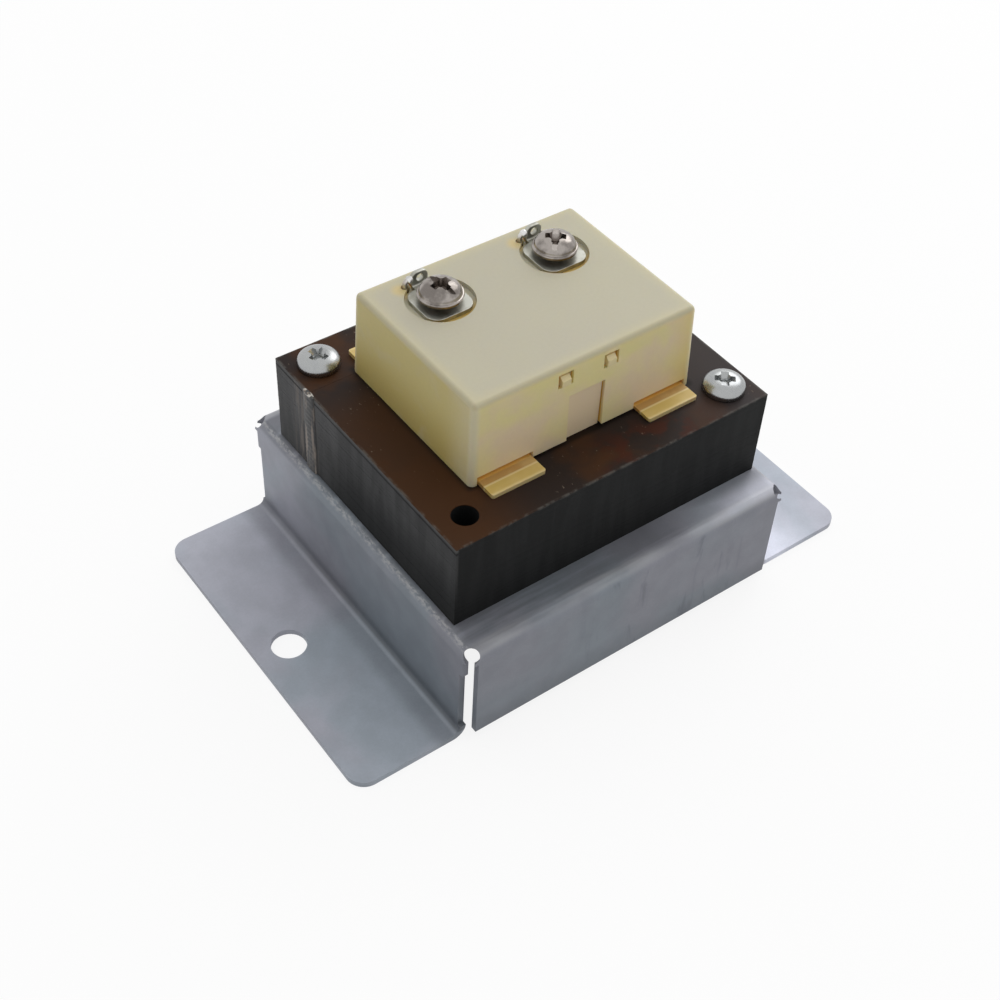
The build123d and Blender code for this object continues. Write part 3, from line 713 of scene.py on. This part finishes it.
def thread_points(radius, depth, pitch, start, end):
    """The zigzag of a thread, from a start height down to an end height."""
    points = []
    height = start
    while height - pitch > end:
        points += [(radius, height), (radius, height - pitch / 8), (radius - depth, height - pitch / 2)]
        height -= pitch
    return points


def recess_cutters(reach, width, depth, top, slot=0.0):
    """Tapered cutters for a cross recess: two arms, the deeper middle and, if it has a length, a slot."""
    cutters = []
    if slot:
        groove = bmesh.new()
        bmesh.ops.create_cube(groove, size=1.0)
        bmesh.ops.scale(groove, vec=(slot, width * 0.55, depth), verts=groove.verts)
        moved(groove, (0, 0, top))
        cutters.append(groove)
    for turn in (0, math.pi / 2):
        arm = bmesh.new()
        bmesh.ops.create_cube(arm, size=1.0)
        bmesh.ops.scale(arm, vec=(reach, width, depth * 2), verts=arm.verts)
        low = [vert for vert in arm.verts if vert.co.z < 0]
        bmesh.ops.scale(arm, vec=(0.42, 0.60, 1), verts=low)
        moved(arm, (0, 0, top), turn)
        cutters.append(arm)
    middle = bmesh.new()
    bmesh.ops.create_cone(
        middle, cap_ends=True, segments=8, radius1=width * 0.42, radius2=width * 1.15, depth=depth * 2.6)
    moved(middle, (0, 0, top), math.radians(22.5))
    cutters.append(middle)
    return cutters


def carved(name, shape, cutters):
    """The mesh of a shape with its cutters taken away."""
    body = placed(name, as_mesh(name, shape))
    tools = []
    for cutter in cutters:
        tool = placed(name + "_cutter", as_mesh(name + "_cutter", cutter))
        cut = body.modifiers.new("recess", "BOOLEAN")
        cut.operation = "DIFFERENCE"
        cut.solver = "EXACT"
        cut.object = tool
        tools.append(tool)
    bpy.context.view_layer.update()
    mesh = bpy.data.meshes.new_from_object(body.evaluated_get(bpy.context.evaluated_depsgraph_get()))
    for unwanted in [body, *tools]:
        bpy.data.objects.remove(unwanted)
    return mesh


def pan_head(radius):
    """Half section of a pan head, from its rim to the top."""
    head = [(radius - 0.25, 0), (radius - 0.04, 0.12), (radius, 0.3)]
    head += crown_points(radius, 0.85, radius * 0.36, PAN_HEIGHT - 0.06)
    return head + [(radius * 0.18, PAN_HEIGHT - 0.01), (0.02, PAN_HEIGHT)]


def binding_head(radius):
    """Half section of a binding head, with its thin rim below a crown."""
    head = [(radius - 0.3, 0), (radius, 0.12), (radius, 0.50), (radius - 0.12, 0.66), (radius - 0.3, 0.70)]
    head += crown_points(radius - 0.38, 0.85, radius * 0.22, BINDING_HEIGHT - 0.06)
    return head + [(radius * 0.11, BINDING_HEIGHT - 0.015), (0.02, BINDING_HEIGHT)]


def finished_screw(node, slot, half_head, sizes, depth, slotted=False):
    """Replace a plain screw with one that has a crowned head, a cross recess and a thread."""
    low, high = box_mm(node)
    middle = (low + high) / 2
    radius = (high.x - low.x) / 2
    head = half_head(radius)
    top = head[-1][1]
    seat = high.z - top
    end = low.z - seat
    root = SHANK_RADIUS - sizes.thread_depth
    profile = [(0, end), (root - 0.3, end), (root, end + 0.35)]
    profile += reversed(
        thread_points(SHANK_RADIUS, sizes.thread_depth, sizes.thread_pitch, -0.15, end + 0.4))
    profile += [(SHANK_RADIUS, -0.05), (SHANK_RADIUS, 0), *head, (0, top)]
    groove = 2.2 * radius if slotted else 0
    mesh = carved(node, lathed(profile), recess_cutters(sizes.recess_reach, RECESS_WIDTH, depth, top, groove))
    turn = Matrix.Rotation(SCREW_TURNS[node], 4, "Z")
    mesh.transform(Matrix.Translation((middle.x, middle.y, seat)) @ turn)
    new_piece(node + "_finished", mesh, slot, node, sharp_degrees=34)


class TRANSFORMER_OT_finishes(bpy.types.Operator):
    """Make every finish of the transformer."""

    bl_idname = "transformer.finishes"
    bl_label = "Make the finishes"

    def execute(self, context):
        for make in FINISHES:
            make(context.scene.transformer_colours)
        return {"FINISHED"}


class TRANSFORMER_OT_mounting_plate(bpy.types.Operator):
    """Finish the folded mounting plate."""

    bl_idname = "transformer.mounting_plate"
    bl_label = "Finish the mounting plate"

    def execute(self, context):
        rounded_nodes(["mounting_plate"], "galvanised_sheet", context.scene.transformer_sizes.sheet_edge)
        return {"FINISHED"}


def lamination_outline(node):
    """The bottom face of a packed stack as its own outline of edges, in millimetres, about Z 0."""
    shape = bmesh.new()
    shape.from_mesh(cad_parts[node].data)
    bmesh.ops.scale(shape, vec=(1 / MM, 1 / MM, 1 / MM), verts=shape.verts)
    bmesh.ops.remove_doubles(shape, verts=shape.verts, dist=0.002)
    floor = min(vert.co.z for vert in shape.verts)
    above = [vert for vert in shape.verts if vert.co.z > floor + 0.01]
    bmesh.ops.delete(shape, geom=above, context="VERTS")
    bmesh.ops.dissolve_limit(shape, angle_limit=math.radians(1.0), verts=shape.verts, edges=shape.edges)
    bmesh.ops.translate(shape, vec=(0, 0, -floor), verts=shape.verts)
    return shape


def stack_of_sheets(node, pitch, shift):
    """A stack of separate laminations, each a little out of line with the next."""
    low, high = box_mm(node)
    count = round((high.z - low.z) / pitch)
    step = (high.z - low.z) / count
    one = lamination_outline(node)
    centre = (low + high) / 2
    size = high - low
    shrink = (1 - 2 * shift / size.x, 1 - 2 * shift / size.y, 1)
    to_centre = Matrix.Translation(-Vector((centre.x, centre.y, 0)))
    bmesh.ops.scale(one, vec=shrink, verts=one.verts, space=to_centre)
    walls = bmesh.ops.extrude_face_region(one, geom=list(one.faces), use_keep_orig=True)
    bmesh.ops.translate(one, vec=(0, 0, step * SHEET_SHARE), verts=verts_of(walls["geom"]))
    bmesh.ops.recalc_face_normals(one, faces=one.faces)
    sheet = as_mesh(node + "_sheet", one)
    stack = bmesh.new()
    for number in range(count):
        before = len(stack.verts)
        stack.from_mesh(sheet)
        stack.verts.ensure_lookup_table()
        added = stack.verts[before:]
        drift = [noise.noise(Vector((number * 7.31, low.y, layer))) * shift for layer in (3.7, 9.1)]
        lift = low.z + number * step if number < count - 1 else high.z - step * SHEET_SHARE
        bmesh.ops.translate(stack, vec=(*drift, lift), verts=added)
    bpy.data.meshes.remove(sheet)
    return stack


class TRANSFORMER_OT_laminations(bpy.types.Operator):
    """Build the core from separate laminations."""

    bl_idname = "transformer.laminations"
    bl_label = "Stack the laminations"

    def execute(self, context):
        sizes = context.scene.transformer_sizes
        for node in ("e_lamination_stack", "i_lamination_stack"):
            stack = stack_of_sheets(node, sizes.lamination_pitch, sizes.lamination_shift)
            new_piece(node + "_sheets", as_mesh(node, stack), "varnished_core", node, sharp_degrees=30)
        return {"FINISHED"}


class TRANSFORMER_OT_welds(bpy.types.Operator):
    """Lay the rippled weld runs down the ends of the core's joint."""

    bl_idname = "transformer.welds"
    bl_label = "Lay the welds"

    def execute(self, context):
        ripple = context.scene.transformer_sizes.weld_ripple
        for name, side in SIDES:
            node = "core_weld_" + name
            low, high = box_mm(node)
            rise = high.x - low.x
            half_width = (high.y - low.y) / 2
            steps = 96
            run = bmesh.new()
            ring = bmesh.ops.create_circle(run, cap_ends=True, segments=24, radius=1.0)["verts"]
            bmesh.ops.scale(run, vec=(rise, half_width, 1), verts=ring)
            faces = list(run.faces)
            for _ in range(steps):
                grown = bmesh.ops.extrude_face_region(run, geom=faces)["geom"]
                faces = faces_of(grown)
                bmesh.ops.translate(run, vec=(0, 0, (high.z - low.z) / steps), verts=verts_of(grown))
            for vert in run.verts:
                along = vert.co.z / ripple + (vert.co.y / half_width) ** 2 * 0.6
                swell = 0.80 + 0.14 * abs(math.sin(math.pi * along))
                swell += 0.06 * noise.noise(Vector((vert.co.z * 0.9, vert.co.y, side * 5.0)))
                vert.co.x *= swell
                vert.co.y *= 0.9 + 0.1 * swell
            bmesh.ops.recalc_face_normals(run, faces=run.faces)
            moved(run, (side * CORE_X, (low.y + high.y) / 2, low.z))
            new_piece(node + "_run", as_mesh(node, run), "weld_metal", node, sharp_degrees=50)
        return {"FINISHED"}


class TRANSFORMER_OT_coil(bpy.types.Operator):
    """Finish the windings, their tapes and the bobbin."""

    bl_idname = "transformer.coil"
    bl_label = "Finish the coil"

    def execute(self, context):
        for node in ("primary_winding", "secondary_winding"):
            wear_finish(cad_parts[node], "enamelled_copper")
        for node in ("barrier_tape", "outer_coil_wrap"):
            wear_finish(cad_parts[node], "polyester_tape")
        rounded_nodes(["coil_bobbin"], "ochre_plastic", context.scene.transformer_sizes.moulded_edge)
        return {"FINISHED"}


class TRANSFORMER_OT_covers(bpy.types.Operator):
    """Finish the two moulded coil covers."""

    bl_idname = "transformer.covers"
    bl_label = "Finish the covers"

    def execute(self, context):
        width = context.scene.transformer_sizes.moulded_edge
        rounded_nodes(["terminal_cover", "lower_coil_cover"], "ivory_plastic", width)
        return {"FINISHED"}


class TRANSFORMER_OT_screws(bpy.types.Operator):
    """Turn the core screws and the terminal screws."""

    bl_idname = "transformer.screws"
    bl_label = "Turn the screws"

    def execute(self, context):
        sizes = context.scene.transformer_sizes
        for name, _ in SIDES:
            finished_screw("core_screw_" + name, "zinc_screw", pan_head, sizes, PAN_RECESS_DEPTH)
            finished_screw(
                "terminal_screw_" + name, "nickel_screw", binding_head, sizes, BINDING_RECESS_DEPTH,
                slotted=True)
        return {"FINISHED"}


class TRANSFORMER_OT_fasteners(bpy.types.Operator):
    """Finish the nuts, the washers and the terminal plates."""

    bl_idname = "transformer.fasteners"
    bl_label = "Finish the fasteners"

    def execute(self, context):
        width = context.scene.transformer_sizes.small_edge
        for name, _ in SIDES:
            rounded_nodes(
                ["core_nut_" + name, "lock_washer_" + name, "terminal_nut_" + name], "zinc_fastener", width)
            rounded_nodes(["terminal_plate_" + name], "tinned_terminal", width)
        return {"FINISHED"}


def bent_lead(low, high, end_x):
    """A bare wire in millimetres: up from the lowest corner of its box, round a bend and along X."""
    radius = (high.y - low.y) / 2
    riser_x = low.x + radius
    centre_y = (low.y + high.y) / 2
    start_z = low.z + 0.02
    elbow_z = high.z - radius - LEAD_BEND
    lead = bmesh.new()
    ring = bmesh.ops.create_circle(lead, cap_ends=True, segments=20, radius=radius)["verts"]
    bmesh.ops.translate(lead, vec=(riser_x, centre_y, start_z), verts=ring)
    riser = bmesh.ops.extrude_face_region(lead, geom=list(lead.faces), use_keep_orig=True)["geom"]
    bmesh.ops.translate(lead, vec=(0, 0, elbow_z - start_z), verts=verts_of(riser))
    end = faces_of(riser)
    end_edges = list({edge for face in end for edge in face.edges})
    bent = bmesh.ops.spin(
        lead, geom=end + end_edges + verts_of(riser), cent=(riser_x + LEAD_BEND, centre_y, elbow_z),
        axis=(0, 1, 0), steps=10, angle=math.pi / 2)
    run = bmesh.ops.extrude_face_region(lead, geom=faces_of(bent["geom_last"]))["geom"]
    bmesh.ops.translate(lead, vec=(max(0.2, end_x - riser_x - LEAD_BEND), 0, 0), verts=verts_of(run))
    bmesh.ops.remove_doubles(lead, verts=lead.verts, dist=0.001)
    bmesh.ops.recalc_face_normals(lead, faces=lead.faces)
    return lead


def solder_blob(place, side):
    """A lumpy drop of solder in millimetres."""
    blob = bmesh.new()
    bmesh.ops.create_icosphere(blob, subdivisions=4, radius=BLOB_RADIUS)
    bmesh.ops.scale(blob, vec=BLOB_SHAPE, verts=blob.verts)
    for vert in blob.verts:
        vert.co *= 1 + 0.22 * noise.noise(vert.co * 1.5 + Vector((side * 3.0, 1.0, 0.5)))
    moved(blob, place)
    return blob


class TRANSFORMER_OT_leads(bpy.types.Operator):
    """Bend the bare secondary leads and solder them to their lugs."""

    bl_idname = "transformer.leads"
    bl_label = "Solder the leads"

    def execute(self, context):
        for name, side in SIDES:
            wire = "secondary_lead_" + name
            joint = "solder_joint_" + name
            joint_low, joint_high = box_mm(joint)
            lead = bent_lead(*box_mm(wire), joint_high.x - 0.15)
            new_piece(wire + "_bent", as_mesh(wire, lead), "tinned_wire", wire, sharp_degrees=40)
            blob = solder_blob((joint_low + joint_high) / 2 - Vector((0.1, 0, 0)), side)
            new_piece(joint + "_blob", as_mesh(joint, blob), "solder", joint, sharp_degrees=180)
        return {"FINISHED"}


def camera_matrix(stage):
    """The camera's place and turn, from its azimuth, elevation and roll."""
    azimuth, elevation, roll = stage.azimuth, stage.elevation, stage.roll
    level = math.cos(elevation)
    back = Vector((math.sin(azimuth) * level, -math.cos(azimuth) * level, math.sin(elevation)))
    right = Vector((0, 0, 1)).cross(back).normalized()
    up = back.cross(right)
    rolled_right = right * math.cos(roll) + up * math.sin(roll)
    rolled_up = up * math.cos(roll) - right * math.sin(roll)
    turn = Matrix((rolled_right, rolled_up, back)).transposed().to_4x4()
    return Matrix.Translation(Vector(stage.camera_place)) @ turn


def seen_directly(tree):
    """1 for rays that see the stage itself, in the picture or in a reflection."""
    rays = tree.nodes.new("ShaderNodeLightPath")
    names = ("Is Camera Ray", "Is Glossy Ray", "Is Transmission Ray")
    camera, glossy, transmission = (Wire(tree, rays.outputs[name]) for name in names)
    return camera.greatest(glossy).greatest(transmission)


def set_camera(stage):
    """Place the scene's camera."""
    camera = placed("camera", bpy.data.cameras.new("camera"))
    camera.data.sensor_width = 36
    camera.data.lens = stage.lens
    camera.data.clip_start = 0.01
    camera.matrix_world = camera_matrix(stage)
    bpy.context.scene.camera = camera


def lay_floor():
    """Lay a floor that is seen as white, keeps the object's shadow and lights the object like a grey one."""
    shape = bmesh.new()
    bmesh.ops.create_grid(shape, x_segments=1, y_segments=1, size=FLOOR_HALF_WIDTH)
    floor = placed("floor", as_mesh("floor", shape))
    floor.location.z = -FLOOR_GAP
    white = bpy.data.materials.new("white_floor")
    white.use_nodes = True
    tree = white.node_tree
    surface = tree.nodes["Principled BSDF"]
    surface.inputs["Roughness"].default_value = 1.0
    surface.inputs["Specular IOR Level"].default_value = 0.0
    grey = tree.nodes.new("ShaderNodeMix")
    grey.data_type = "RGBA"
    grey.inputs[6].default_value = (FLOOR_LIGHTING, FLOOR_LIGHTING, FLOOR_LIGHTING, 1)
    grey.inputs[7].default_value = (FLOOR_SEEN, FLOOR_SEEN, FLOOR_SEEN, 1)
    seen = seen_directly(tree)
    tree.links.new(seen.socket, grey.inputs[0])
    tree.links.new(grey.outputs[2], surface.inputs["Base Color"])
    glow = tree.nodes.new("ShaderNodeEmission")
    mixed = tree.nodes.new("ShaderNodeMixShader")
    tree.links.new((seen * FLOOR_GLOW).socket, mixed.inputs[0])
    tree.links.new(surface.outputs[0], mixed.inputs[1])
    tree.links.new(glow.outputs[0], mixed.inputs[2])
    tree.links.new(mixed.outputs[0], tree.nodes["Material Output"].inputs["Surface"])
    floor.data.materials.append(white)


def light_world(stage):
    """Make a world that is seen as white and lights the object softly, brighter from one side."""
    world = bpy.data.worlds.new("studio")
    bpy.context.scene.world = world
    world.use_nodes = True
    tree = world.node_tree
    background = tree.nodes["Background"]
    background.inputs["Color"].default_value = (1, 1, 1, 1)
    aim = tree.nodes.new("ShaderNodeTexCoord")
    facing = tree.nodes.new("ShaderNodeVectorMath")
    facing.operation = "DOT_PRODUCT"
    facing.inputs[1].default_value = Vector(stage.bright_side).normalized()
    tree.links.new(aim.outputs["Generated"], facing.inputs[0])
    softened = tree.nodes.new("ShaderNodeMapRange")
    softened.interpolation_type = "SMOOTHSTEP"
    softened.inputs["From Min"].default_value = FILL_FADE[0]
    softened.inputs["From Max"].default_value = FILL_FADE[1]
    softened.inputs["To Min"].default_value = stage.fill_low
    softened.inputs["To Max"].default_value = stage.fill_high
    tree.links.new(facing.outputs["Value"], softened.inputs["Value"])
    light = Wire(tree, softened.outputs["Result"])
    seen = seen_directly(tree)
    tree.links.new((seen + (1 - seen) * light).socket, background.inputs["Strength"])


def hang_lamp(stage):
    """Hang a wide soft lamp over the object."""
    lamp = placed("key_lamp", bpy.data.lights.new("key_lamp", "AREA"))
    lamp.data.shape = "DISK"
    lamp.data.size = LAMP_WIDTH
    lamp.data.energy = stage.key_power
    lamp.location = LAMP_PLACE
    lamp.rotation_euler = (Vector(LAMP_AIM) - lamp.location).to_track_quat("-Z", "Y").to_euler()


class TRANSFORMER_OT_stage(bpy.types.Operator):
    """Set the camera, the white floor and the soft light."""

    bl_idname = "transformer.stage"
    bl_label = "Set the stage"

    def execute(self, context):
        stage = context.scene.transformer_stage
        set_camera(stage)
        lay_floor()
        light_world(stage)
        hang_lamp(stage)
        context.scene.view_settings.view_transform = "Standard"
        return {"FINISHED"}


class TRANSFORMER_PT_sidebar(bpy.types.Panel):
    """The transformer's sizes, colours and steps."""

    bl_idname = "TRANSFORMER_PT_sidebar"
    bl_label = "Transformer"
    bl_space_type = "VIEW_3D"
    bl_region_type = "UI"
    bl_category = "Transformer"

    def draw(self, context):
        for group in ("transformer_sizes", "transformer_colours", "transformer_stage"):
            settings = getattr(context.scene, group)
            box = self.layout.box()
            for name in settings.bl_rna.properties.keys():
                if name not in ("rna_type", "name"):
                    box.prop(settings, name)
        for step in STEPS:
            self.layout.operator(step.bl_idname)


STEPS = (
    TRANSFORMER_OT_stage,
    TRANSFORMER_OT_finishes,
    TRANSFORMER_OT_mounting_plate,
    TRANSFORMER_OT_laminations,
    TRANSFORMER_OT_welds,
    TRANSFORMER_OT_coil,
    TRANSFORMER_OT_covers,
    TRANSFORMER_OT_screws,
    TRANSFORMER_OT_fasteners,
    TRANSFORMER_OT_leads,
)
GROUPS = {
    "transformer_sizes": TransformerSizes,
    "transformer_colours": TransformerColours,
    "transformer_stage": TransformerStage,
}


def register():
    for made in (*GROUPS.values(), *STEPS, TRANSFORMER_PT_sidebar):
        bpy.utils.register_class(made)
    for name, group in GROUPS.items():
        setattr(bpy.types.Scene, name, bpy.props.PointerProperty(type=group))


def unregister():
    for name in GROUPS:
        delattr(bpy.types.Scene, name)
    for made in reversed((*GROUPS.values(), *STEPS, TRANSFORMER_PT_sidebar)):
        bpy.utils.unregister_class(made)


def main():
    register()
    for step in STEPS:
        section, name = step.bl_idname.split(".")
        getattr(getattr(bpy.ops, section), name)()


if __name__ == "__main__":
    main()
